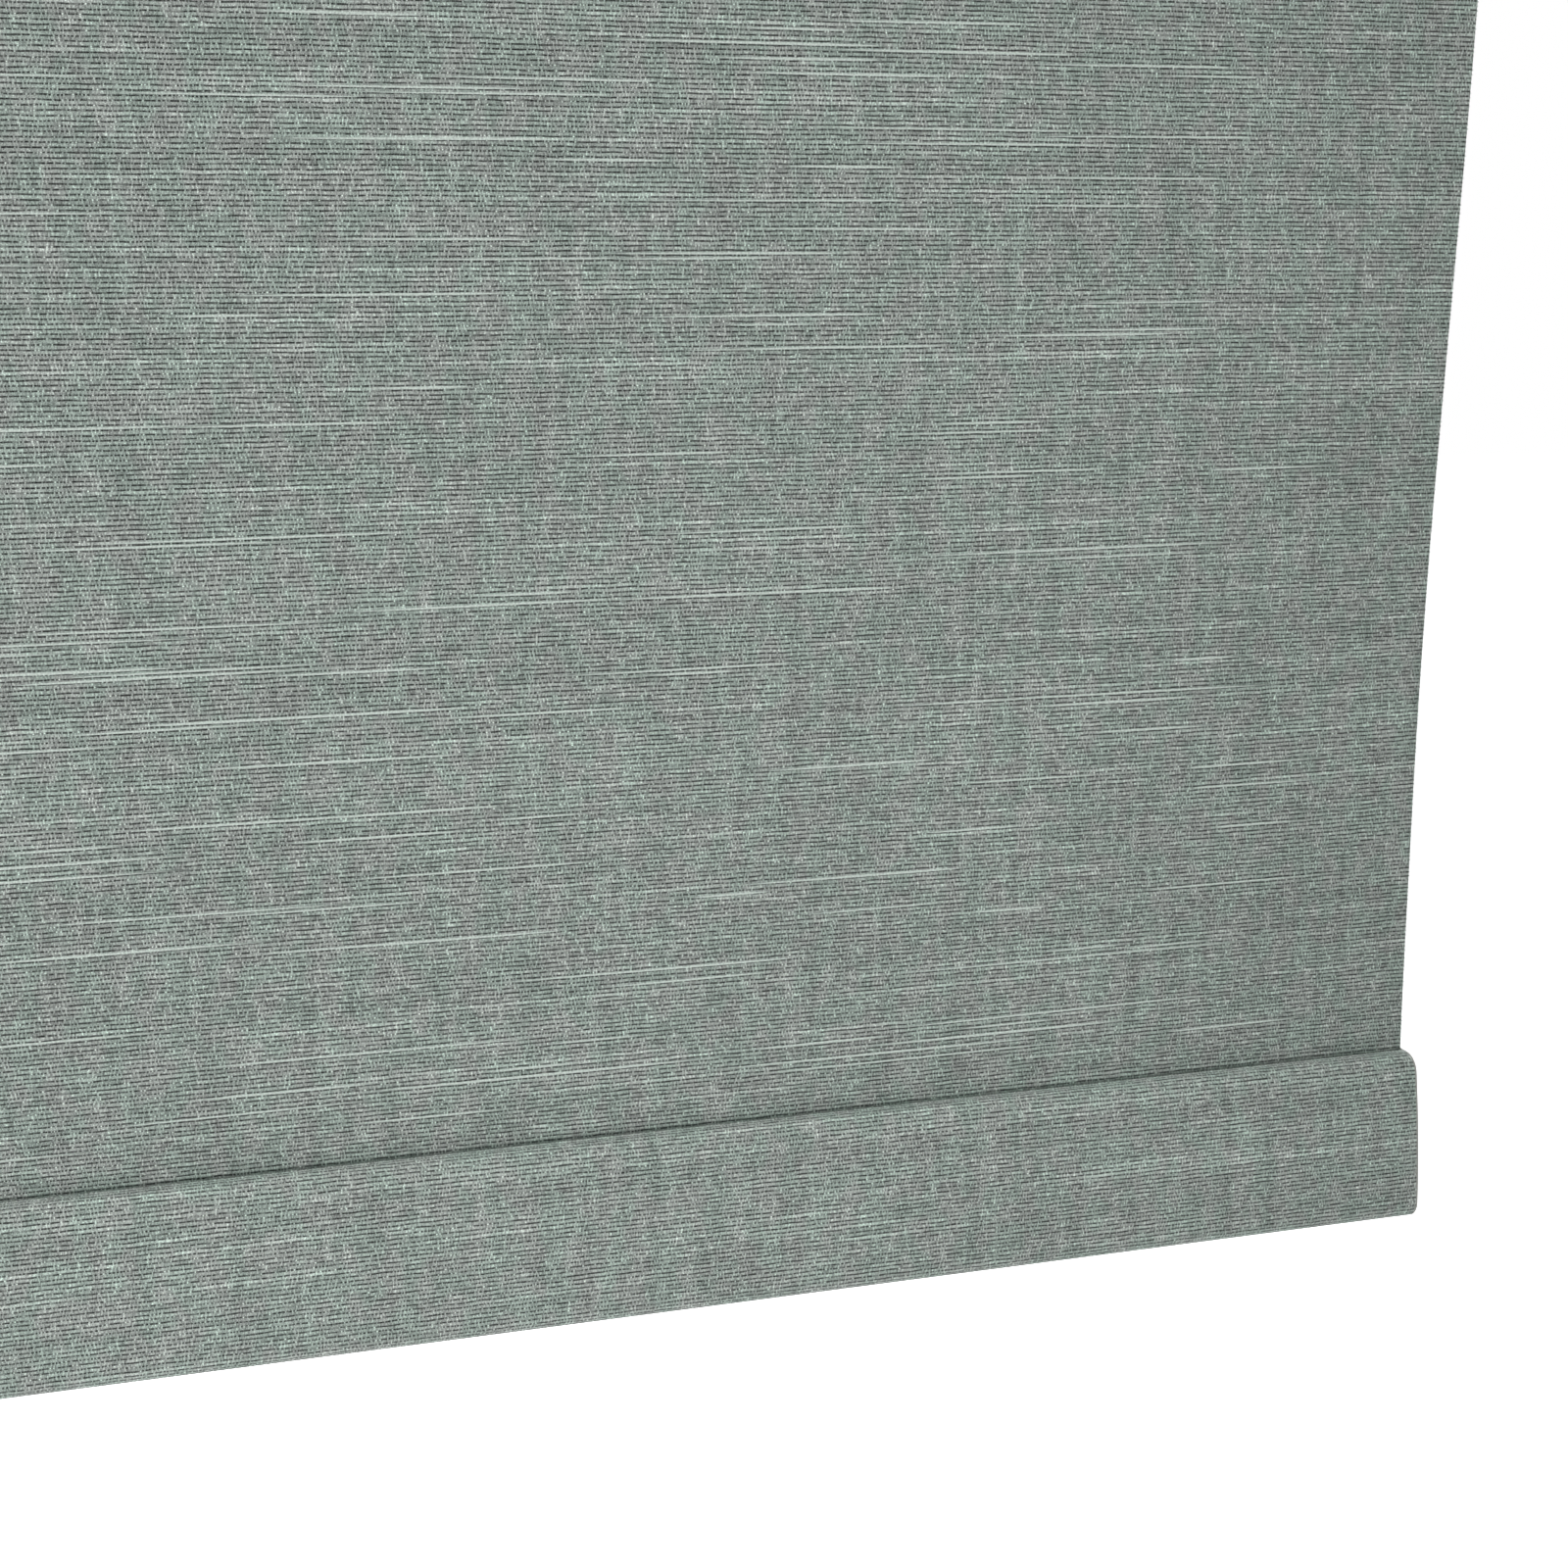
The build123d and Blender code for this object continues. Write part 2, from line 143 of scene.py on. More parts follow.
def newGroup(name, ins, outs):
    tree = bpy.data.node_groups.new(name, "ShaderNodeTree")
    for label, kind, value in ins:
        socket = tree.interface.new_socket(label, in_out="INPUT", socket_type="NodeSocket" + kind)
        if value is not None:
            socket.default_value = value
    for label, kind in outs:
        tree.interface.new_socket(label, in_out="OUTPUT", socket_type="NodeSocket" + kind)
    return tree, tree.nodes.new("NodeGroupInput").outputs, tree.nodes.new("NodeGroupOutput").inputs


def useGroup(tree, group, **values):
    node = tree.nodes.new("ShaderNodeGroup")
    node.node_tree = group
    for label, value in values.items():
        feed(tree, value, node.inputs[label])
    return node.outputs


# linen-look weave, shared by every cloth piece

weaveTones = {
    "base": 0.56,
    # rib: painted highlight on every weft crest; ribFibre and ribThread are the yarn's own tone changes
    "rib": 0.13,
    "ribFibre": 0.44,
    "ribThread": 0.20,
    # gap: painted shade between the weft ribs; gapFibre is fibre tone within it
    "gap": -0.285,
    "gapFibre": 0.6,
    "row": 0.045,
    "slub": 0.075,
    "tick": 0.43,
    "dot": 0.17,
    # pit: painted shade in small pits between the warp threads
    "pit": -0.14,
    "blotch": 0.01,
    "upright": 0.09,
    "fuzz": 0.34,
    "darkest": 0.12,
    "contrast": 2.2,
    "sageYarn": (0.836, 1.0, 0.905, 1),
    "greyYarn": (0.908, 0.987, 0.929, 1),
}


def linenWeave():
    tree, given, out = newGroup("linenWeave", [
        ("Place", "Vector", None), ("RibPitch", "Float", 0.8), ("WarpPitch", "Float", 0.645),
        ("Slubs", "Float", 1.0), ("Shift", "Float", 0.0)],
        [("Color", "Color"), ("Height", "Float"), ("Roughness", "Float")])
    split = tree.nodes.new("ShaderNodeSeparateXYZ")
    feed(tree, given["Place"], split.inputs[0])
    x = maths(tree, "MULTIPLY_ADD", split.outputs[0], 1000.0, given["Shift"])
    z = times(tree, split.outputs[1], 1000.0)

    # weft ribs that wander a little
    wander = add(tree, times(tree, noise(tree, times(tree, x, 1 / 3.5), times(tree, z, 1 / 1.6)), 0.28),
                 times(tree, noise(tree, times(tree, x, 1 / 70), times(tree, z, 1 / 40)), 0.5))
    row = add(tree, maths(tree, "DIVIDE", z, given["RibPitch"]), wander)
    rowIndex = maths(tree, "FLOOR", row)
    rowPhase = maths(tree, "FRACT", row)
    gapIndex = maths(tree, "FLOOR", add(tree, row, 0.5))
    wave = maths(tree, "SINE", times(tree, rowPhase, math.pi))
    # rib lightens each weft crest with painted highlight; gap darkens the thread edges with painted shade
    rib = ramp(tree, wave, 0.35, 0.85)
    gap = minus(tree, 1.0, ramp(tree, wave, 0.2, 0.68))

    # each weft thread swells, thins and changes tone along its length
    threadTone = noise(tree, times(tree, x, 1 / 7), times(tree, rowIndex, 13.7), 2.0)
    rowTone = whiteNoise(tree, rowIndex, 4.0)
    slubPlace = add(tree, times(tree, rowIndex, 5.13), 40.0)
    slub = ramp(tree, noise(tree, times(tree, x, 1 / 62), slubPlace, 1.0), 0.62, 0.72)
    slub = times(tree, slub, given["Slubs"])
    fibre = noise(tree, times(tree, x, 1 / 0.34), times(tree, rowIndex, 7.77), 1.0)
    gapFibre = noise(tree, times(tree, x, 1 / 0.30), times(tree, gapIndex, 6.21), 1.0)
    # where the gaps between ribs open and take painted shade
    openGapShadeMask = ramp(tree, noise(tree, times(tree, x, 1 / 1.5), times(tree, gapIndex, 9.31), 1.0), 0.27, 0.5)

    # warp threads tie the ribs down and show as short upright ticks
    column = add(tree, maths(tree, "DIVIDE", x, given["WarpPitch"]), times(tree, gapIndex, 0.36),
                 times(tree, noise(tree, times(tree, x, 1 / 2.1), times(tree, gapIndex, 3.17)), 1.1))
    columnIndex = maths(tree, "FLOOR", column)
    columnWave = maths(tree, "SINE", times(tree, maths(tree, "FRACT", column), math.pi))
    tickShape = ramp(tree, columnWave, 0.74, 0.95)
    streak = noise(tree, times(tree, x, 1 / 1.7), times(tree, z, 1 / 22), 1.0)
    tickChance = add(tree, whiteNoise(tree, columnIndex, gapIndex), minus(tree, streak, 0.5))
    tick = times(tree, tickShape, ramp(tree, tickChance, 0.42, 0.56))
    dotChance = whiteNoise(tree, add(tree, columnIndex, 0.37), rowIndex)
    dot = times(tree, ramp(tree, columnWave, 0.8, 1.0), rib, ramp(tree, dotChance, 0.72, 0.88))
    # small pits between warp threads, darkened with painted shade
    pit = times(tree, minus(tree, 1.0, ramp(tree, columnWave, 0.15, 0.55)),
                minus(tree, 1.0, ramp(tree, dotChance, 0.25, 0.42)))

    # slow changes over the cloth
    blotch = noise(tree, times(tree, x, 1 / 30), times(tree, z, 1 / 20), 1.0)
    upright = noise(tree, times(tree, x, 1 / 2.4), times(tree, z, 1 / 50), 1.0)
    fuzz = noise(tree, times(tree, x, 4.5), times(tree, z, 6.0))

    tones = weaveTones
    # rib crests get painted highlight plus the yarn's own tone; open gaps get painted shade
    ribHighlightAndYarnTone = add(tree, tones["rib"], times(tree, minus(tree, fibre, 0.5), tones["ribFibre"]),
                  times(tree, minus(tree, threadTone, 0.5), tones["ribThread"]))
    gapShadeTone = add(tree, tones["gap"], times(tree, minus(tree, gapFibre, 0.5), tones["gapFibre"]))
    tone = add(tree, tones["base"],
               times(tree, rib, ribHighlightAndYarnTone),
               times(tree, gap, openGapShadeMask, gapShadeTone),
               times(tree, minus(tree, rowTone, 0.5), tones["row"]),
               times(tree, slub, add(tree, rib, 0.15), tones["slub"]),
               times(tree, gap, tick, tones["tick"]),
               times(tree, dot, tones["dot"]),
               times(tree, pit, tones["pit"]),
               times(tree, minus(tree, blotch, 0.5), tones["blotch"]),
               times(tree, minus(tree, upright, 0.5), tones["upright"]),
               times(tree, minus(tree, fuzz, 0.5), tones["fuzz"]))
    tone = maths(tree, "MAXIMUM", tone, tones["darkest"])

    # two yarn colours, sage green and warm grey, in loose patches
    melange = noise(tree, times(tree, x, 1 / 5), times(tree, z, 1 / 7), 1.0)
    tint = mixColour(tree, ramp(tree, melange, 0.36, 0.66), tones["sageYarn"], tones["greyYarn"])
    brightness = maths(tree, "POWER", tone, tones["contrast"])
    scale = tree.nodes.new("ShaderNodeVectorMath")
    scale.operation = "SCALE"
    feed(tree, tint, scale.inputs[0])
    feed(tree, brightness, scale.inputs["Scale"])
    feed(tree, scale.outputs[0], out["Color"])
    height = add(tree, times(tree, rib, 0.7), times(tree, slub, times(tree, rib, 0.4)),
                 times(tree, tick, 0.3), times(tree, fuzz, 0.15))
    feed(tree, height, out["Height"])
    feed(tree, add(tree, 0.86, times(tree, fuzz, 0.1)), out["Roughness"])
    return tree


# fine grain, shared by moulded and painted pieces

def surfaceGrain():
    tree, given, out = newGroup("surfaceGrain", [
        ("Place", "Vector", None), ("Size", "Float", 0.4), ("BaseColor", "Color", (0.5, 0.5, 0.5, 1)),
        ("Unevenness", "Float", 0.06), ("Roughness", "Float", 0.5)],
        [("Color", "Color"), ("Height", "Float"), ("Roughness", "Float")])
    toMillimetres = tree.nodes.new("ShaderNodeVectorMath")
    toMillimetres.operation = "SCALE"
    feed(tree, given["Place"], toMillimetres.inputs[0])
    toMillimetres.inputs["Scale"].default_value = 1000.0

    def cloud(size, detail):
        node = tree.nodes.new("ShaderNodeTexNoise")
        node.inputs["Detail"].default_value = detail
        feed(tree, maths(tree, "DIVIDE", 1.0, size), node.inputs["Scale"])
        feed(tree, toMillimetres.outputs[0], node.inputs["Vector"])
        return node.outputs[0]

    grain = cloud(given["Size"], 2.0)
    patch = cloud(18.0, 3.0)
    change = times(tree, minus(tree, patch, 0.5), given["Unevenness"])
    fine = times(tree, minus(tree, grain, 0.5), times(tree, given["Unevenness"], 0.6))
    shade = add(tree, 1.0, change, fine)
    scale = tree.nodes.new("ShaderNodeVectorMath")
    scale.operation = "SCALE"
    feed(tree, given["BaseColor"], scale.inputs[0])
    feed(tree, shade, scale.inputs["Scale"])
    feed(tree, scale.outputs[0], out["Color"])
    feed(tree, grain, out["Height"])
    feed(tree, add(tree, given["Roughness"], change), out["Roughness"])
    return tree


# fine drawn or brushed lines, shared by the metals

def drawnLines():
    tree, given, out = newGroup("drawnLines", [
        ("Place", "Vector", None), ("BaseColor", "Color", (0.6, 0.6, 0.6, 1)), ("Roughness", "Float", 0.35)],
        [("Color", "Color"), ("Height", "Float"), ("Roughness", "Float")])
    stretch = tree.nodes.new("ShaderNodeVectorMath")
    stretch.operation = "MULTIPLY"
    feed(tree, given["Place"], stretch.inputs[0])
    stretch.inputs[1].default_value = (12.0, 4200.0, 4200.0)    # per metre: long along X, fine across
    lines = tree.nodes.new("ShaderNodeTexNoise")
    lines.inputs["Scale"].default_value = 1.0
    lines.inputs["Detail"].default_value = 2.0
    feed(tree, stretch.outputs[0], lines.inputs["Vector"])
    shade = add(tree, 0.93, times(tree, lines.outputs[0], 0.14))
    scale = tree.nodes.new("ShaderNodeVectorMath")
    scale.operation = "SCALE"
    feed(tree, given["BaseColor"], scale.inputs[0])
    feed(tree, shade, scale.inputs["Scale"])
    feed(tree, scale.outputs[0], out["Color"])
    feed(tree, lines.outputs[0], out["Height"])
    uneven = times(tree, minus(tree, lines.outputs[0], 0.5), 0.25)
    feed(tree, add(tree, given["Roughness"], uneven), out["Roughness"])
    return tree


weaveGroup = linenWeave()
grainGroup = surfaceGrain()
linesGroup = drawnLines()
print("shader groups made")


def newMaterial(name):
    material = bpy.data.materials.new(name)
    material.use_nodes = True
    shader = material.node_tree.nodes["Principled BSDF"]
    return material, material.node_tree, shader


def bump(tree, shader, height, distance, strength):
    node = tree.nodes.new("ShaderNodeBump")
    node.inputs["Distance"].default_value = distance
    node.inputs["Strength"].default_value = strength
    feed(tree, height, node.inputs["Height"])
    feed(tree, node.outputs[0], shader.inputs["Normal"])


clothLook = {
    "ribPitch": 0.8,            # millimetres between weft threads
    "warpPitch": 0.645,
    "reliefHeight": 0.00012,
    "reliefStrength": 0.55,
    "sheen": 0.12,
}


def clothMaterial(name, onSurface, shift=0.0):
    # onSurface: the weave follows the piece's own UV map; otherwise its place in the blind
    material, tree, shader = newMaterial(name)
    place = tree.nodes.new("ShaderNodeTexCoord")
    if onSurface:
        where = place.outputs["UV"]
    else:
        split = tree.nodes.new("ShaderNodeSeparateXYZ")
        feed(tree, place.outputs["Object"], split.inputs[0])
        where = pair(tree, split.outputs[0], split.outputs[2])
    weave = useGroup(tree, weaveGroup, Place=where, RibPitch=clothLook["ribPitch"],
                     WarpPitch=clothLook["warpPitch"], Shift=shift)
    feed(tree, weave["Color"], shader.inputs["Base Color"])
    feed(tree, weave["Roughness"], shader.inputs["Roughness"])
    shader.inputs["Sheen Weight"].default_value = clothLook["sheen"]
    shader.inputs["Sheen Roughness"].default_value = 0.6
    shader.inputs["Specular IOR Level"].default_value = 0.2
    bump(tree, shader, weave["Height"], distance=clothLook["reliefHeight"],
         strength=clothLook["reliefStrength"])
    return material


def threadMaterial(name, colour):
    material, tree, shader = newMaterial(name)
    split = tree.nodes.new("ShaderNodeSeparateXYZ")
    feed(tree, tree.nodes.new("ShaderNodeTexCoord").outputs["Object"], split.inputs[0])
    fibre = noise(tree, times(tree, split.outputs[0], 1000 / 0.34),
                  times(tree, split.outputs[2], 1000 / 0.4), 1.0)
    shade = tree.nodes.new("ShaderNodeVectorMath")
    shade.operation = "SCALE"
    shade.inputs[0].default_value = colour
    feed(tree, add(tree, 0.55, times(tree, fibre, 0.7)), shade.inputs["Scale"])
    feed(tree, shade.outputs[0], shader.inputs["Base Color"])
    shader.inputs["Roughness"].default_value = 0.88
    shader.inputs["Specular IOR Level"].default_value = 0.2
    return material


def plasticMaterial(name, colour, roughness, grainSize, unevenness=0.06, coat=0.0):
    material, tree, shader = newMaterial(name)
    place = tree.nodes.new("ShaderNodeTexCoord").outputs["Object"]
    grain = useGroup(tree, grainGroup, Place=place, Size=grainSize, BaseColor=(*colour, 1),
                     Unevenness=unevenness, Roughness=roughness)
    feed(tree, grain["Color"], shader.inputs["Base Color"])
    feed(tree, grain["Roughness"], shader.inputs["Roughness"])
    shader.inputs["Coat Weight"].default_value = coat
    bump(tree, shader, grain["Height"], distance=0.00006, strength=0.35)
    return material


def metalMaterial(name, colour, roughness):
    material, tree, shader = newMaterial(name)
    place = tree.nodes.new("ShaderNodeTexCoord").outputs["Object"]
    lines = useGroup(tree, linesGroup, Place=place, BaseColor=(*colour, 1), Roughness=roughness)
    feed(tree, lines["Color"], shader.inputs["Base Color"])
    feed(tree, lines["Roughness"], shader.inputs["Roughness"])
    shader.inputs["Metallic"].default_value = 1.0
    bump(tree, shader, lines["Height"], distance=0.00003, strength=0.3)
    return material


hangingClothMaterial = clothMaterial("hangingClothLinen", False)
wrappedClothMaterial = clothMaterial("wrappedClothLinen", True, shift=37.0)
slubMaterial = threadMaterial("slubLinen", (0.70, 0.785, 0.73))
coverMaterial = plasticMaterial("coverPlastic", (0.52, 0.53, 0.51), roughness=0.48, grainSize=0.45)
capMaterial = plasticMaterial("capPlastic", (0.40, 0.40, 0.375), roughness=0.42, grainSize=0.3,
                              unevenness=0.05)
plugMaterial = plasticMaterial("plugPlastic", (0.72, 0.72, 0.70), roughness=0.42, grainSize=0.5)
nylonMaterial = plasticMaterial("nylon", (0.80, 0.79, 0.74), roughness=0.36, grainSize=0.8)
splineMaterial = plasticMaterial("splinePlastic", (0.66, 0.66, 0.64), roughness=0.5, grainSize=0.4)
bracketMaterial = plasticMaterial("bracketPaint", (0.74, 0.74, 0.72), roughness=0.38, grainSize=0.7,
                                  unevenness=0.04, coat=0.15)
aluminiumMaterial = metalMaterial("drawnAluminium", (0.77, 0.78, 0.79), roughness=0.34)
platedMaterial = metalMaterial("zincPlate", (0.62, 0.63, 0.64), roughness=0.30)
springMaterial = metalMaterial("springWire", (0.36, 0.36, 0.37), roughness=0.28)
print("materials made")

slotMaterials = {
    "bracket_steel": bracketMaterial, "cover_plastic": coverMaterial, "cap_plastic": capMaterial,
    "plug_plastic": plugMaterial, "nylon": nylonMaterial, "spline_plastic": splineMaterial,
    "tube_aluminium": aluminiumMaterial, "plated_steel": platedMaterial, "spring_steel": springMaterial,
    "blind_cloth": wrappedClothMaterial,
}


def finishCadNodes():
    for subpart in frame["record"]["subparts"]:
        node = frame["nodes"][subpart["node"]]
        material = slotMaterials[subpart["material_slot"]]
        if not node.material_slots:
            node.data.materials.append(material)
        for slot in node.material_slots:
            slot.material = material


finishCadNodes()
print("frame pieces finished")


# cloth as a closed thin sheet whose middle surface is given by a function

sharpAngle = 60.0               # degrees; a sheet's cut edges are sharper than this, its folds are not


def sheetPiece(name, stations, lengths, middle, thickness, material):
    # middle(x, length) gives the middle surface's place
    # stations run along the roller, lengths along the warp
    step = 1e-5

    def normal(x, length):
        along = middle(x + step, length) - middle(x - step, length)
        down = middle(x, length + step) - middle(x, length - step)
        return down.cross(along).normalized()

    vertices = []
    for side in (0.5, -0.5):
        for length in lengths:
            for x in stations:
                vertices.append(middle(x, length) + normal(x, length) * thickness * side)
    columns, rows = len(stations), len(lengths)
    layer = columns * rows

    def spot(side, row, column):
        return side * layer + row * columns + column

    faces = []
    for row in range(rows - 1):
        for column in range(columns - 1):
            ring = [(row, column), (row, column + 1), (row + 1, column + 1), (row + 1, column)]
            faces.append([spot(0, *corner) for corner in reversed(ring)])
            faces.append([spot(1, *corner) for corner in ring])
    for row in range(rows - 1):
        faces.append([spot(0, row, 0), spot(0, row + 1, 0), spot(1, row + 1, 0), spot(1, row, 0)])
        end = columns - 1
        faces.append([spot(1, row, end), spot(1, row + 1, end), spot(0, row + 1, end), spot(0, row, end)])
    for column in range(columns - 1):
        faces.append([spot(1, 0, column), spot(1, 0, column + 1), spot(0, 0, column + 1), spot(0, 0, column)])
        end = rows - 1
        faces.append([spot(0, end, column), spot(0, end, column + 1),
                      spot(1, end, column + 1), spot(1, end, column)])
    mesh = bpy.data.meshes.new(name)
    mesh.from_pydata(vertices, [], faces)
    uvMap = mesh.uv_layers.new(name="cloth")
    for loop in mesh.loops:
        index = loop.vertex_index % layer
        uvMap.data[loop.index].uv = (stations[index % columns], lengths[index // columns])
    mesh.materials.append(material)
    mesh.shade_smooth()
    mesh.set_sharp_from_angle(angle=math.radians(sharpAngle))
    mesh.update()
    piece = bpy.data.objects.new(name, mesh)
    bpy.context.scene.collection.objects.link(piece)
    return piece


def spread(low, high, count):
    return [low + (high - low) * index / count for index in range(count + 1)]


def smooth(value, low, high):
    share = min(1.0, max(0.0, (value - low) / (high - low)))
    return share * share * (3 - 2 * share)


# hanging cloth

hangingCloth = {
    "columns": 96,
    "rows": 170,
    "edgeWaveWidth": 0.080,     # how far in from each side the cloth waves
    "edgeWaveDepth": 0.0023,
    "edgeWaveLength": (0.300, 0.340),   # right side, left side
    "edgeWaveFade": 0.45,       # height above the rail by which the wave has mostly died
    "rippleDepth": 0.0006,
    "rippleAcross": 14.0,
    "rippleDown": 8.0,
    "rippleSkew": 5.0,
    "rippleStart": 0.7,
    "calmAboveRail": 0.045,     # the rail and the roll hold the cloth flat over these lengths
    "calmBelowRoll": 0.12,
    "tongueRows": 3,
}


def hangingMiddle(x, length):
    values = hangingCloth
    height = max(0.0, hangingLength - length)           # distance above the rail
    side = abs(x) - (clothWidth / 2 - values["edgeWaveWidth"])
    reach = max(0.0, side / values["edgeWaveWidth"])
    waveLength = values["edgeWaveLength"][0 if x > 0 else 1]
    wave = math.sin(2 * math.pi * height / waveLength) * math.exp(-(height / values["edgeWaveFade"]) ** 4)
    edge = values["edgeWaveDepth"] * reach * reach * wave
    held = smooth(height, 0.0, values["calmAboveRail"]) * smooth(length, 0.0, values["calmBelowRoll"])
    across = math.sin(values["rippleAcross"] * x + values["rippleSkew"] * height)
    down = math.sin(values["rippleDown"] * height + values["rippleStart"])
    ripple = values["rippleDepth"] * across * down * held
    return Vector((x, clothMiddleY + edge + ripple, panelHigh.z - length))


def makeHangingCloth():
    stations = spread(panelLow.x, panelHigh.x, hangingCloth["columns"])
    lengths = spread(0.0, hangingLength, hangingCloth["rows"])
    return sheetPiece("hangingCloth", stations, lengths, hangingMiddle, clothThickness,
                      hangingClothMaterial)


def makeSlitTongue():
    # the cloth's last few millimetres, which sit in the rail's slit and rise with it
    stations = spread(panelLow.x, panelHigh.x, hangingCloth["columns"])
    lengths = spread(hangingLength, panelHigh.z - panelLow.z, hangingCloth["tongueRows"])
    return sheetPiece("slitTongue", stations, lengths, hangingMiddle, clothThickness,
                      hangingClothMaterial)


def foldWithRail(piece):
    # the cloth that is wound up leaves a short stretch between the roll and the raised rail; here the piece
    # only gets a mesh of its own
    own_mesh(piece)


hangingPiece = makeHangingCloth()
tonguePiece = makeSlitTongue()
print("hanging cloth made")


# trees of geometry nodes: each has named inputs and gives one plain mesh

def newGeometryTree(name, ins):
    tree = bpy.data.node_groups.new(name, "GeometryNodeTree")
    tree.interface.new_socket("Geometry", in_out="INPUT", socket_type="NodeSocketGeometry")
    for label, kind in ins:
        tree.interface.new_socket(label, in_out="INPUT", socket_type="NodeSocket" + kind)
    tree.interface.new_socket("Geometry", in_out="OUTPUT", socket_type="NodeSocketGeometry")
    return tree, tree.nodes.new("NodeGroupInput").outputs, tree.nodes.new("NodeGroupOutput").inputs


def addNode(tree, kind, **values):
    # each value is named as its socket is, without spaces; gives the node's first output
    node = tree.nodes.new(kind)
    for socket in node.inputs:
        label = socket.name.replace(" ", "")
        if label in values and socket.enabled:
            feed(tree, values.pop(label), socket)
    return node.outputs[0]


def randomBetween(tree, low, high, seed):
    node = tree.nodes.new("FunctionNodeRandomValue")
    node.data_type = "FLOAT"
    live = {socket.name: socket for socket in node.inputs if socket.enabled}
    for label, value in (("Min", low), ("Max", high), ("Seed", seed)):
        feed(tree, value, live[label])
    return next(socket for socket in node.outputs if socket.enabled)


def endTree(tree, out, geometry, material):
    real = addNode(tree, "GeometryNodeRealizeInstances", Geometry=geometry)
    feed(tree, addNode(tree, "GeometryNodeSetMaterial", Geometry=real, Material=material), out[0])


def bakedPiece(name, mesh, tree, values):
    # runs the tree on the mesh and keeps the result as a plain mesh
    source = bpy.data.objects.new(name + "Source", mesh)
    bpy.context.scene.collection.objects.link(source)
    modifier = source.modifiers.new("nodes", "NODES")
    modifier.node_group = tree
    for item in tree.interface.items_tree:
        if item.in_out == "INPUT" and item.name in values:
            modifier[item.identifier] = values[item.name]
    bpy.context.view_layer.update()
    evaluated = source.evaluated_get(bpy.context.evaluated_depsgraph_get())
    baked = bpy.data.meshes.new_from_object(evaluated)
    baked.name = name
    baked.shade_smooth()
    source.modifiers.remove(modifier)
    bpy.data.objects.remove(source)
    piece = bpy.data.objects.new(name, baked)
    bpy.context.scene.collection.objects.link(piece)
    return piece


# thick places in the weft, raised threads that lie along the ribs of the hanging cloth

slubThreads = {
    "count": 1300,
    "halfLength": (0.008, 0.038),
    "halfWidth": (0.00014, 0.00024),
    "rise": 0.00009,
    "slope": 0.006,             # how far a thread leans from level, in radians
    "margin": 0.004,            # length kept free at the roll and at the rail
    "seed": 11,
}


def slubTree():
    tree, given, out = newGeometryTree("slubThreads", [
        ("Shortest", "Float"), ("Longest", "Float"), ("Thinnest", "Float"), ("Thickest", "Float"),
        ("Rise", "Float"), ("Slope", "Float"), ("Seed", "Int"), ("Yarn", "Material")])
    points = addNode(tree, "GeometryNodeMeshToPoints", Mesh=given["Geometry"])
    spindle = addNode(tree, "GeometryNodeMeshUVSphere", Segments=6, Rings=6, Radius=1.0)
    seeds = [add(tree, given["Seed"], number) for number in range(3)]
    size = pair(tree, randomBetween(tree, given["Shortest"], given["Longest"], seeds[0]), given["Rise"],
                randomBetween(tree, given["Thinnest"], given["Thickest"], seeds[1]))
    slope = randomBetween(tree, times(tree, given["Slope"], -1.0), given["Slope"], seeds[2])
    threads = addNode(tree, "GeometryNodeInstanceOnPoints", Points=points, Instance=spindle,
                      Rotation=pair(tree, 0.0, slope, 0.0), Scale=size)
    endTree(tree, out, threads, given["Yarn"])
    return tree


def makeSlubThreads():
    values = slubThreads
    chance = random.Random(values["seed"])
    places = []
    longest = values["halfLength"][1]
    for _ in range(values["count"]):
        x = chance.uniform(panelLow.x + longest, panelHigh.x - longest)
        length = chance.uniform(values["margin"], hangingLength - values["margin"])
        rib = math.floor(length / (clothLook["ribPitch"] * millimetre))
        middle = hangingMiddle(x, rib * clothLook["ribPitch"] * millimetre)
        places.append(middle - Vector((0, clothThickness / 2, 0)))
    mesh = bpy.data.meshes.new("slubPlaces")
    mesh.from_pydata(places, [], [])
    return bakedPiece("slubThreads", mesh, slubTree(), {
        "Shortest": values["halfLength"][0], "Longest": values["halfLength"][1],
        "Thinnest": values["halfWidth"][0], "Thickest": values["halfWidth"][1],
        "Rise": values["rise"], "Slope": values["slope"], "Seed": values["seed"], "Yarn": slubMaterial})


slubPiece = makeSlubThreads()
print("slub threads made:", len(slubPiece.data.polygons), "faces")


# cut ends of the weft threads along both side edges of the hanging cloth

threadEnds = {
    "radius": 0.00016,
    "reach": (0.00005, 0.00030),    # how far an end stands out of the cut edge
    "hidden": 0.0001,           # how much of it lies inside the cloth
    "tilt": 0.25,
    "seed": 5,
}


def threadEndTree():
    tree, given, out = newGeometryTree("threadEnds", [
        ("Pitch", "Float"), ("Radius", "Float"), ("Shortest", "Float"), ("Longest", "Float"),
        ("Tilt", "Float"), ("Seed", "Int"), ("Yarn", "Material")])
    edge = addNode(tree, "GeometryNodeMeshToCurve", Mesh=given["Geometry"])
    spaced = tree.nodes.new("GeometryNodeResampleCurve")
    spaced.mode = "LENGTH"
    feed(tree, edge, spaced.inputs["Curve"])
    feed(tree, given["Pitch"], spaced.inputs["Length"])
    end = addNode(tree, "GeometryNodeMeshUVSphere", Segments=6, Rings=4, Radius=1.0)
    seeds = [add(tree, given["Seed"], number) for number in range(2)]
    half = randomBetween(tree, given["Shortest"], given["Longest"], seeds[0])
    turn = randomBetween(tree, times(tree, given["Tilt"], -1.0), given["Tilt"], seeds[1])
    ends = addNode(tree, "GeometryNodeInstanceOnPoints", Points=spaced.outputs[0], Instance=end,
                   Rotation=pair(tree, 0.0, turn, times(tree, turn, 0.5)),
                   Scale=pair(tree, half, given["Radius"], given["Radius"]))
    endTree(tree, out, ends, given["Yarn"])
    return tree


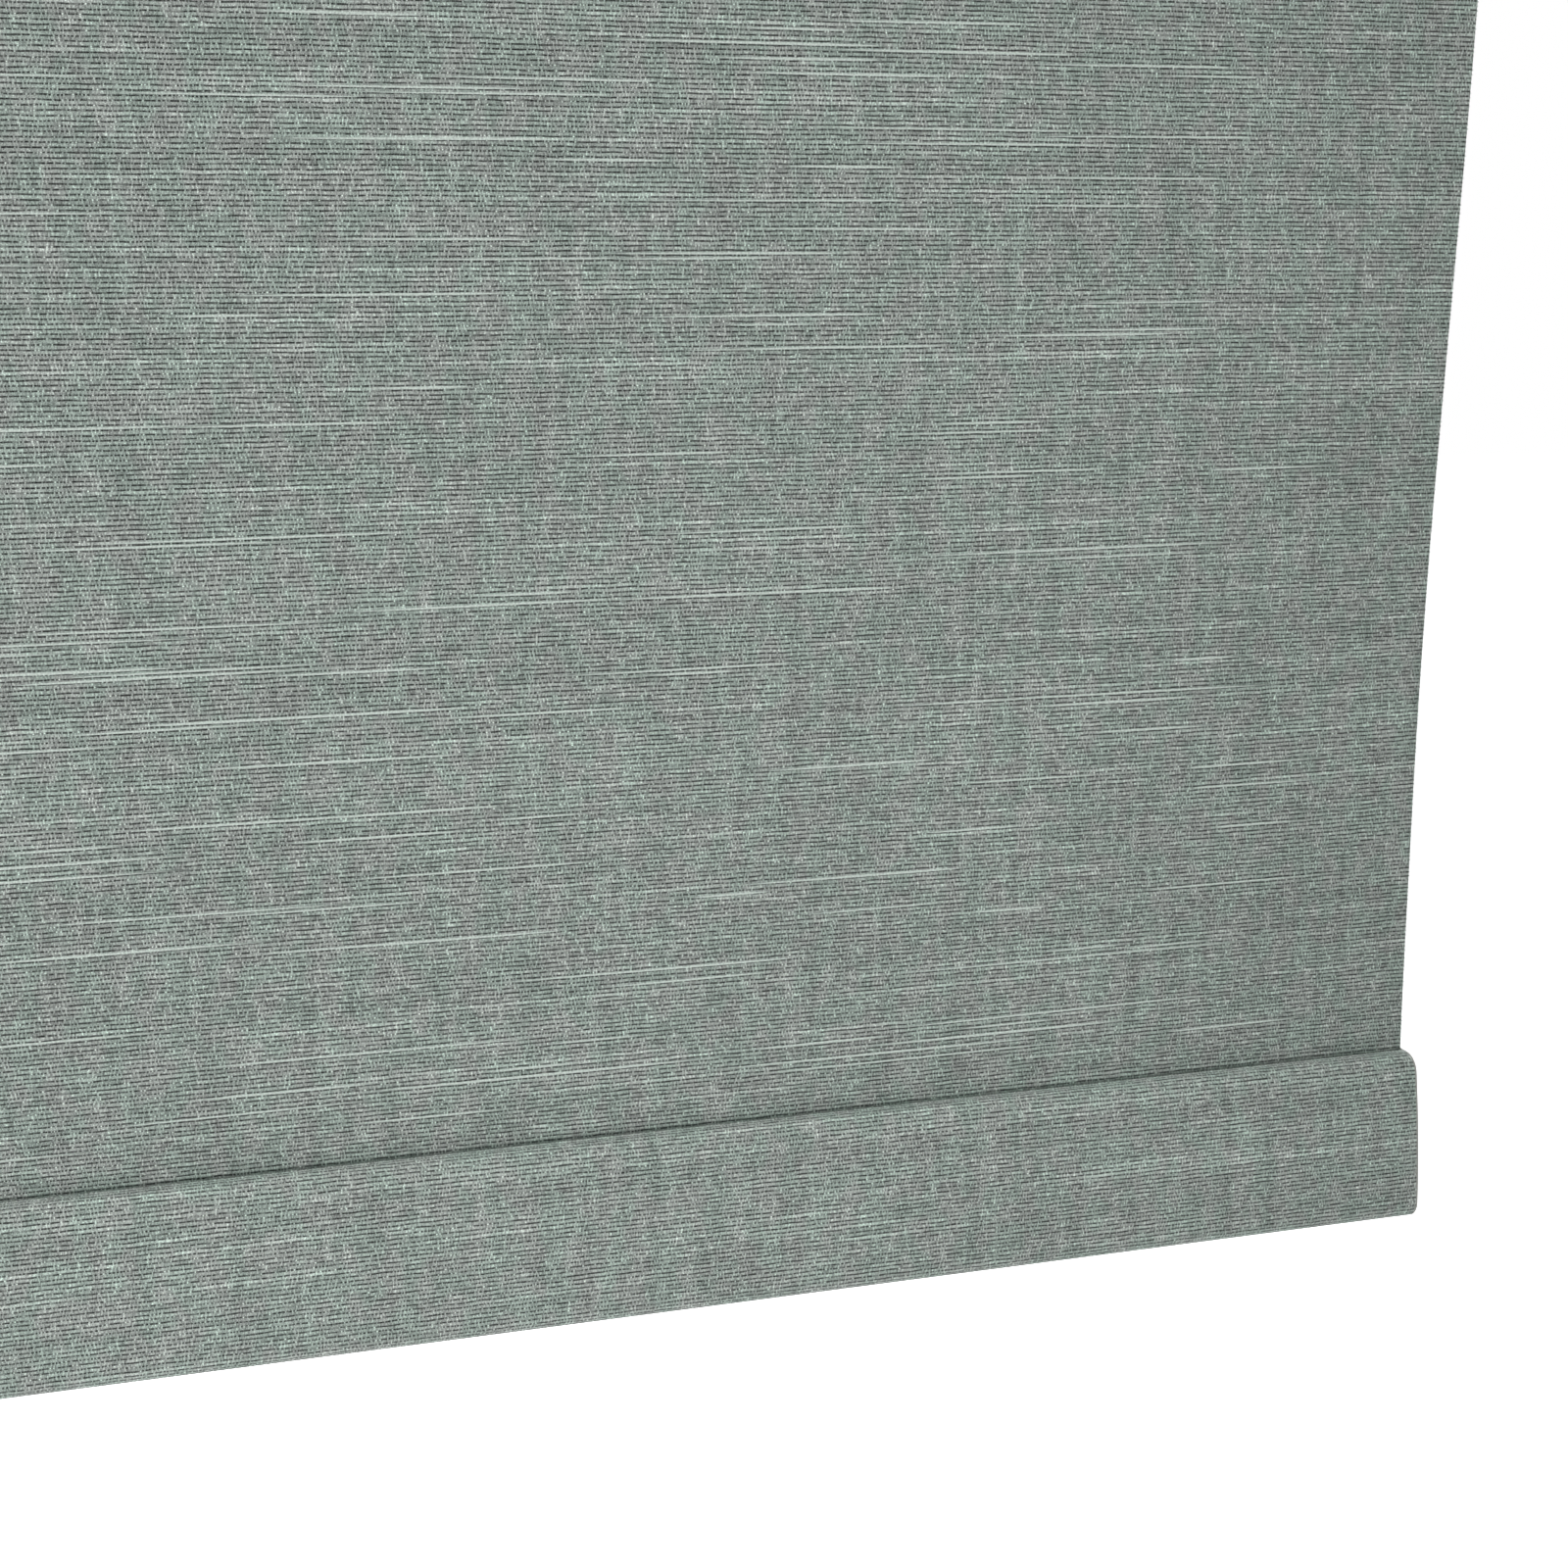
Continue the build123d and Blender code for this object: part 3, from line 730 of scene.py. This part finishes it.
def makeThreadEnds():
    values = threadEnds
    places, edges = [], []
    lengths = spread(0.0, hangingLength, hangingCloth["rows"])
    for x in (panelLow.x, panelHigh.x):
        first = len(places)
        places += [hangingMiddle(x, length) for length in lengths]
        edges += [(index, index + 1) for index in range(first, len(places) - 1)]
    mesh = bpy.data.meshes.new("edgeLines")
    mesh.from_pydata(places, edges, [])
    return bakedPiece("threadEnds", mesh, threadEndTree(), {
        "Pitch": clothLook["ribPitch"] * millimetre, "Radius": values["radius"],
        "Shortest": values["reach"][0] + values["hidden"],
        "Longest": values["reach"][1] + values["hidden"],
        "Tilt": values["tilt"], "Seed": values["seed"], "Yarn": slubMaterial})


threadEndPiece = makeThreadEnds()
print("thread ends made:", len(threadEndPiece.data.polygons), "faces")


# the spring behind the idle pin, with closed end turns

pinSpring = {
    "turns": 12.0,
    "closedShare": 0.10,        # share of the turns that lie closed at each end
    "wireRadius": 0.0004,
    "closedPitch": 0.00084,
}


def coilTree():
    tree, given, out = newGeometryTree("coilSpring", [
        ("Turns", "Float"), ("CoilRadius", "Float"), ("WireRadius", "Float"), ("Length", "Float"),
        ("ClosedPitch", "Float"), ("ClosedShare", "Float"), ("Wire", "Material")])
    spiral = addNode(tree, "GeometryNodeCurveSpiral", Resolution=24, Rotations=given["Turns"], Height=0.0,
                     StartRadius=given["CoilRadius"], EndRadius=given["CoilRadius"])
    along = tree.nodes.new("GeometryNodeSplineParameter").outputs["Factor"]
    closed = times(tree, given["ClosedPitch"], given["Turns"])
    opening = tree.nodes.new("ShaderNodeMapRange")
    for label, value in (("Value", along), ("From Min", given["ClosedShare"]),
                         ("From Max", minus(tree, 1.0, given["ClosedShare"]))):
        feed(tree, value, opening.inputs[label])
    rise = add(tree, times(tree, along, closed),
               times(tree, opening.outputs[0], minus(tree, given["Length"], closed)))
    risen = addNode(tree, "GeometryNodeSetPosition", Geometry=spiral, Offset=pair(tree, 0.0, 0.0, rise))
    laid = addNode(tree, "GeometryNodeTransform", Geometry=risen, Rotation=(0.0, math.pi / 2, 0.0))
    wire = addNode(tree, "GeometryNodeCurvePrimitiveCircle", Resolution=8, Radius=given["WireRadius"])
    coil = tree.nodes.new("GeometryNodeCurveToMesh")
    feed(tree, laid, coil.inputs["Curve"])
    feed(tree, wire, coil.inputs["Profile Curve"])
    coil.inputs["Fill Caps"].default_value = True
    endTree(tree, out, coil.outputs[0], given["Wire"])
    return tree


def makePinSpring():
    values = pinSpring
    low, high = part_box("idle_pin_spring")
    wire = values["wireRadius"]
    piece = bakedPiece("pinSpring", bpy.data.meshes.new("pinSpringStart"), coilTree(), {
        "Turns": values["turns"], "CoilRadius": (high.y - low.y) / 2 - wire, "WireRadius": wire,
        "Length": high.x - low.x - 2 * wire, "ClosedPitch": values["closedPitch"],
        "ClosedShare": values["closedShare"], "Wire": springMaterial})
    middle = Vector((low.x + wire, (low.y + high.y) / 2, (low.z + high.z) / 2))
    piece.data.transform(Matrix.Translation(middle))
    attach(piece, "roller")
    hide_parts("idle_pin_spring")
    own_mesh(piece)
    return piece


pinSpringPiece = makePinSpring()
print("pin spring made:", len(pinSpringPiece.data.polygons), "faces")


# cloth wound on the tube

rolledCloth = {
    "turns": 1.25,
    "steps": 150,
    "columns": 12,
    "flareAngle": 40.0,         # degrees over which the outer end leaves the roll
    "overlap": 0.00001,         # how much closer the turns lie than the cloth is thick
}
rollCentreY = (tubeHigh.y + tubeLow.y) / 2
rollRadius = (rollHigh.y - rollLow.y) / 2


def rolledRadius(angle):
    outer = rollRadius - clothThickness * 0.5
    lay = outer - (clothThickness - rolledCloth["overlap"]) * min(1.0, angle / (2 * math.pi))
    leaving = max(0.0, 1 - angle / math.radians(rolledCloth["flareAngle"]))
    gap = clothMiddleY - rollCentreY - outer
    return lay + gap * leaving * leaving


def rolledMiddle(x, length):
    angle = length / (rollRadius - clothThickness)
    radius = rolledRadius(angle)
    return Vector((x, rollCentreY + radius * math.cos(angle), radius * math.sin(angle)))


def makeRolledCloth():
    stations = spread(rollLow.x, rollHigh.x, rolledCloth["columns"])
    total = 2 * math.pi * rolledCloth["turns"] * (rollRadius - clothThickness)
    lengths = spread(0.0, total, rolledCloth["steps"])
    piece = sheetPiece("rolledCloth", stations, lengths, rolledMiddle, clothThickness, wrappedClothMaterial)
    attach(piece, "roller")
    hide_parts("fabric_roll")
    return piece


makeRolledCloth()
print("rolled cloth made")


# cloth wrapped round the bottom rail

railSection = {
    "height": 0.0328,
    "back": -0.0034,            # depths are in front of the hanging cloth
    "frontTop": (0.00525, 0.0),
    "frontMiddle": (0.00795, 0.0153),
    "frontBottom": (0.0096, 0.0328),
    "topRadius": 0.0040,
    "bottomRadius": 0.0034,
    "backRadius": 0.0017,
    "slit": (-0.00045, 0.00002),
    "tuck": 0.0018,             # how far the wrap's ends turn down into the slit
    "frontLipRadius": 0.0008,
    "backLipRadius": 0.0005,
    "thickness": 0.00043,
    "columns": 40,
    "lipSteps": (6, 5),         # front lip, back lip
    "cornerSteps": 10,
    "backSteps": 6,
    "frontSteps": 24,
}


def circleThrough(a, b, c):
    d = 2 * (a.x * (b.y - c.y) + b.x * (c.y - a.y) + c.x * (a.y - b.y))
    squares = [p.length_squared for p in (a, b, c)]
    x = (squares[0] * (b.y - c.y) + squares[1] * (c.y - a.y) + squares[2] * (a.y - b.y)) / d
    y = (squares[0] * (c.x - b.x) + squares[1] * (a.x - c.x) + squares[2] * (b.x - a.x)) / d
    centre = Vector((x, y))
    return centre, (a - centre).length


def arcPoints(centre, radius, start, stop, steps):
    angles = spread(start, stop, steps)
    return [centre + radius * Vector((math.cos(angle), math.sin(angle))) for angle in angles]


def wrapOutline():
    # middle line of the wrap as (depth, drop), from the slit round the front to the slit again
    s = railSection
    inset = s["thickness"] / 2
    centre, radius = circleThrough(*(Vector(s[key]) for key in ("frontTop", "frontMiddle", "frontBottom")))
    down = math.pi / 2
    points = []
    lip = s["frontLipRadius"]
    frontLip = Vector((s["slit"][1] + inset + lip, inset + lip))
    points.append(Vector((frontLip.x - lip, s["tuck"])))
    points += arcPoints(frontLip, lip, -math.pi, -down, s["lipSteps"][0])
    top = s["topRadius"]
    topDepth = centre.x + math.sqrt((radius - top) ** 2 - (top - centre.y) ** 2)
    topCentre = Vector((topDepth, top))
    topAngle = math.atan2(topCentre.y - centre.y, topCentre.x - centre.x)
    points += arcPoints(topCentre, top - inset, -down, topAngle, s["cornerSteps"])
    bottom = s["bottomRadius"]
    bottomDrop = s["height"] - bottom
    bottomDepth = centre.x + math.sqrt((radius - bottom) ** 2 - (bottomDrop - centre.y) ** 2)
    bottomCentre = Vector((bottomDepth, bottomDrop))
    bottomAngle = math.atan2(bottomCentre.y - centre.y, bottomCentre.x - centre.x)
    points += arcPoints(centre, radius - inset, topAngle, bottomAngle, s["frontSteps"])[1:]
    points += arcPoints(bottomCentre, bottom - inset, bottomAngle, down, s["cornerSteps"])[1:]
    back = s["backRadius"]
    backBottom = Vector((s["back"] + back, s["height"] - back))
    backTop = Vector((s["back"] + back, back))
    points += arcPoints(backBottom, back - inset, down, math.pi, s["backSteps"])
    points += arcPoints(backTop, back - inset, math.pi, math.pi * 1.5, s["backSteps"])
    lip = s["backLipRadius"]
    backLip = Vector((s["slit"][0] - inset - lip, inset + lip))
    points += arcPoints(backLip, lip, -down, 0.0, s["lipSteps"][1])
    points.append(Vector((backLip.x + lip, s["tuck"])))
    return points


def makeRailWrap():
    outline = wrapOutline()
    reached = [0.0]
    for a, b in zip(outline, outline[1:]):
        reached.append(reached[-1] + (b - a).length)

    def middle(x, length):
        index = max(i for i in range(len(reached) - 1) if reached[i] <= max(0.0, length) + 1e-9)
        share = (length - reached[index]) / (reached[index + 1] - reached[index])
        place = outline[index] + (outline[index + 1] - outline[index]) * share
        return Vector((x, panelLow.y - place.x, wrapHigh.z - place.y))

    stations = spread(wrapLow.x, wrapHigh.x, railSection["columns"])
    piece = sheetPiece("railWrap", stations, reached, middle, railSection["thickness"], wrappedClothMaterial)
    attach(piece, "bottom_rail")
    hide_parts("hem_wrap")
    return piece


makeRailWrap()
print("rail wrap made")


# the hanging cloth and its threads are held by the root, the slit tongue by the rail

def hangCloth():
    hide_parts("fabric_panel")
    for piece in (hangingPiece, slubPiece, threadEndPiece):
        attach(piece, "root")
        foldWithRail(piece)
    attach(tonguePiece, "bottom_rail")


hangCloth()
print("hanging cloth held by the roll and the rail")


# camera, light and floor

view = {
    "besideEdge": 0.2787,       # camera's distance to the left of the cloth's right edge
    "fromCloth": 0.4403,
    "aboveRail": 0.1742,
    "turnRight": 18.66,
    "tiltDown": 13.49,
    "lean": 0.60,
    "lens": 61.49,
}


def cameraFoot():
    # the point of the cloth's front face nearest the camera
    return Vector((panelHigh.x - view["besideEdge"], panelLow.y, wrapHigh.z + view["aboveRail"]))


def makeCamera():
    turn, tilt, lean = (math.radians(view[key]) for key in ("turnRight", "tiltDown", "lean"))
    level = Vector((math.sin(turn), math.cos(turn), 0))
    side = Vector((math.cos(turn), -math.sin(turn), 0))
    up = Vector((0, 0, 1))
    forward = math.cos(tilt) * level - math.sin(tilt) * up
    top = math.cos(tilt) * up + math.sin(tilt) * level
    right = math.cos(lean) * side + math.sin(lean) * top
    top = math.cos(lean) * top - math.sin(lean) * side
    data = bpy.data.cameras.new("camera")
    data.lens = view["lens"]
    data.sensor_width = 36.0
    data.clip_start = 0.01
    camera = bpy.data.objects.new("camera", data)
    place = cameraFoot() - Vector((0, view["fromCloth"], 0))
    turned = Matrix((right, top, -forward)).transposed().to_4x4()
    camera.matrix_world = Matrix.Translation(place) @ turned
    bpy.context.scene.collection.objects.link(camera)
    bpy.context.scene.camera = camera


studio = {
    "floorDrop": 0.62,          # how far the floor is below the rail
    "floorReach": 6.0,
    "floorGlow": (0.02, 0.9),   # always, and more where the camera sees it directly
    "worldLight": 0.15,
    "worldColour": (0.90, 1.0, 0.96, 1),
    "frontColour": (1.0, 0.965, 0.98),
    "frontPlace": (0.159, -0.754, -0.289),   # places are measured from the camera's foot on the cloth
    "frontAim": (-0.012, 0.0, 0.025),
    "frontSpread": 71.3,
    "frontSize": 0.12,
    "frontPower": 11.3,
    "topPlace": (-0.95, -0.24, 2.05),
    "topAim": (-0.10, 0.0, -0.139),
    "topSize": 1.3,
    "topPower": 60.0,
    "backPlaces": ((1.6, 1.3, 0.7), (-1.9, 1.3, 0.7)),  # two soft lights for the back and the ends
    "backAim": (0.0, 0.0, 0.25),
    "backSize": 1.0,
    "backPower": 18.0,
}


def placeLight(name, data, place, aim):
    lamp = bpy.data.objects.new(name, data)
    turned = (Vector(aim) - Vector(place)).to_track_quat("-Z", "Y").to_matrix().to_4x4()
    lamp.matrix_world = Matrix.Translation(cameraFoot() + Vector(place)) @ turned
    bpy.context.scene.collection.objects.link(lamp)


def makeStudio():
    front = bpy.data.lights.new("frontLight", "SPOT")
    front.energy = studio["frontPower"]
    front.color = studio["frontColour"]
    front.spot_size = math.radians(studio["frontSpread"])
    front.spot_blend = 1.0
    front.shadow_soft_size = studio["frontSize"]
    placeLight("frontLight", front, studio["frontPlace"], studio["frontAim"])
    top = bpy.data.lights.new("topLight", "AREA")
    top.energy = studio["topPower"]
    top.size = studio["topSize"]
    placeLight("topLight", top, studio["topPlace"], studio["topAim"])
    for backPlace in studio["backPlaces"]:
        back = bpy.data.lights.new("backLight", "AREA")
        back.energy = studio["backPower"]
        back.size = studio["backSize"]
        placeLight("backLight", back, backPlace, studio["backAim"])

    world = bpy.data.worlds.new("studioWorld")
    bpy.context.scene.world = world
    world.use_nodes = True
    nodes, links = world.node_tree.nodes, world.node_tree.links
    background = nodes["Background"]
    lightPath = nodes.new("ShaderNodeLightPath")
    seen = lightPath.outputs["Is Camera Ray"]
    shown = mixColour(world.node_tree, seen, studio["worldColour"], (1, 1, 1, 1))
    links.new(shown, background.inputs["Color"])
    strength = nodes.new("ShaderNodeMapRange")
    strength.inputs["To Min"].default_value = studio["worldLight"]
    strength.inputs["To Max"].default_value = 1.0
    links.new(seen, strength.inputs["Value"])
    links.new(strength.outputs[0], background.inputs["Strength"])

    material, tree, shader = newMaterial("paleFloor")
    shader.inputs["Base Color"].default_value = (0.86, 0.86, 0.86, 1)
    shader.inputs["Roughness"].default_value = 0.9
    shader.inputs["Emission Color"].default_value = (1, 1, 1, 1)
    seen = tree.nodes.new("ShaderNodeLightPath").outputs["Is Camera Ray"]
    always, direct = studio["floorGlow"]
    feed(tree, maths(tree, "MULTIPLY_ADD", seen, direct, always), shader.inputs["Emission Strength"])
    mesh = bpy.data.meshes.new("floor")
    reach = studio["floorReach"]
    z = wrapLow.z - studio["floorDrop"]
    corners = [(-reach, -reach, z), (reach, -reach, z), (reach, reach, z), (-reach, reach, z)]
    mesh.from_pydata(corners, [], [(0, 1, 2, 3)])
    mesh.materials.append(material)
    floor = bpy.data.objects.new("floor", mesh)
    bpy.context.scene.collection.objects.link(floor)


makeCamera()
makeStudio()
bpy.context.scene.view_settings.view_transform = "Standard"
print("camera, light and floor made")
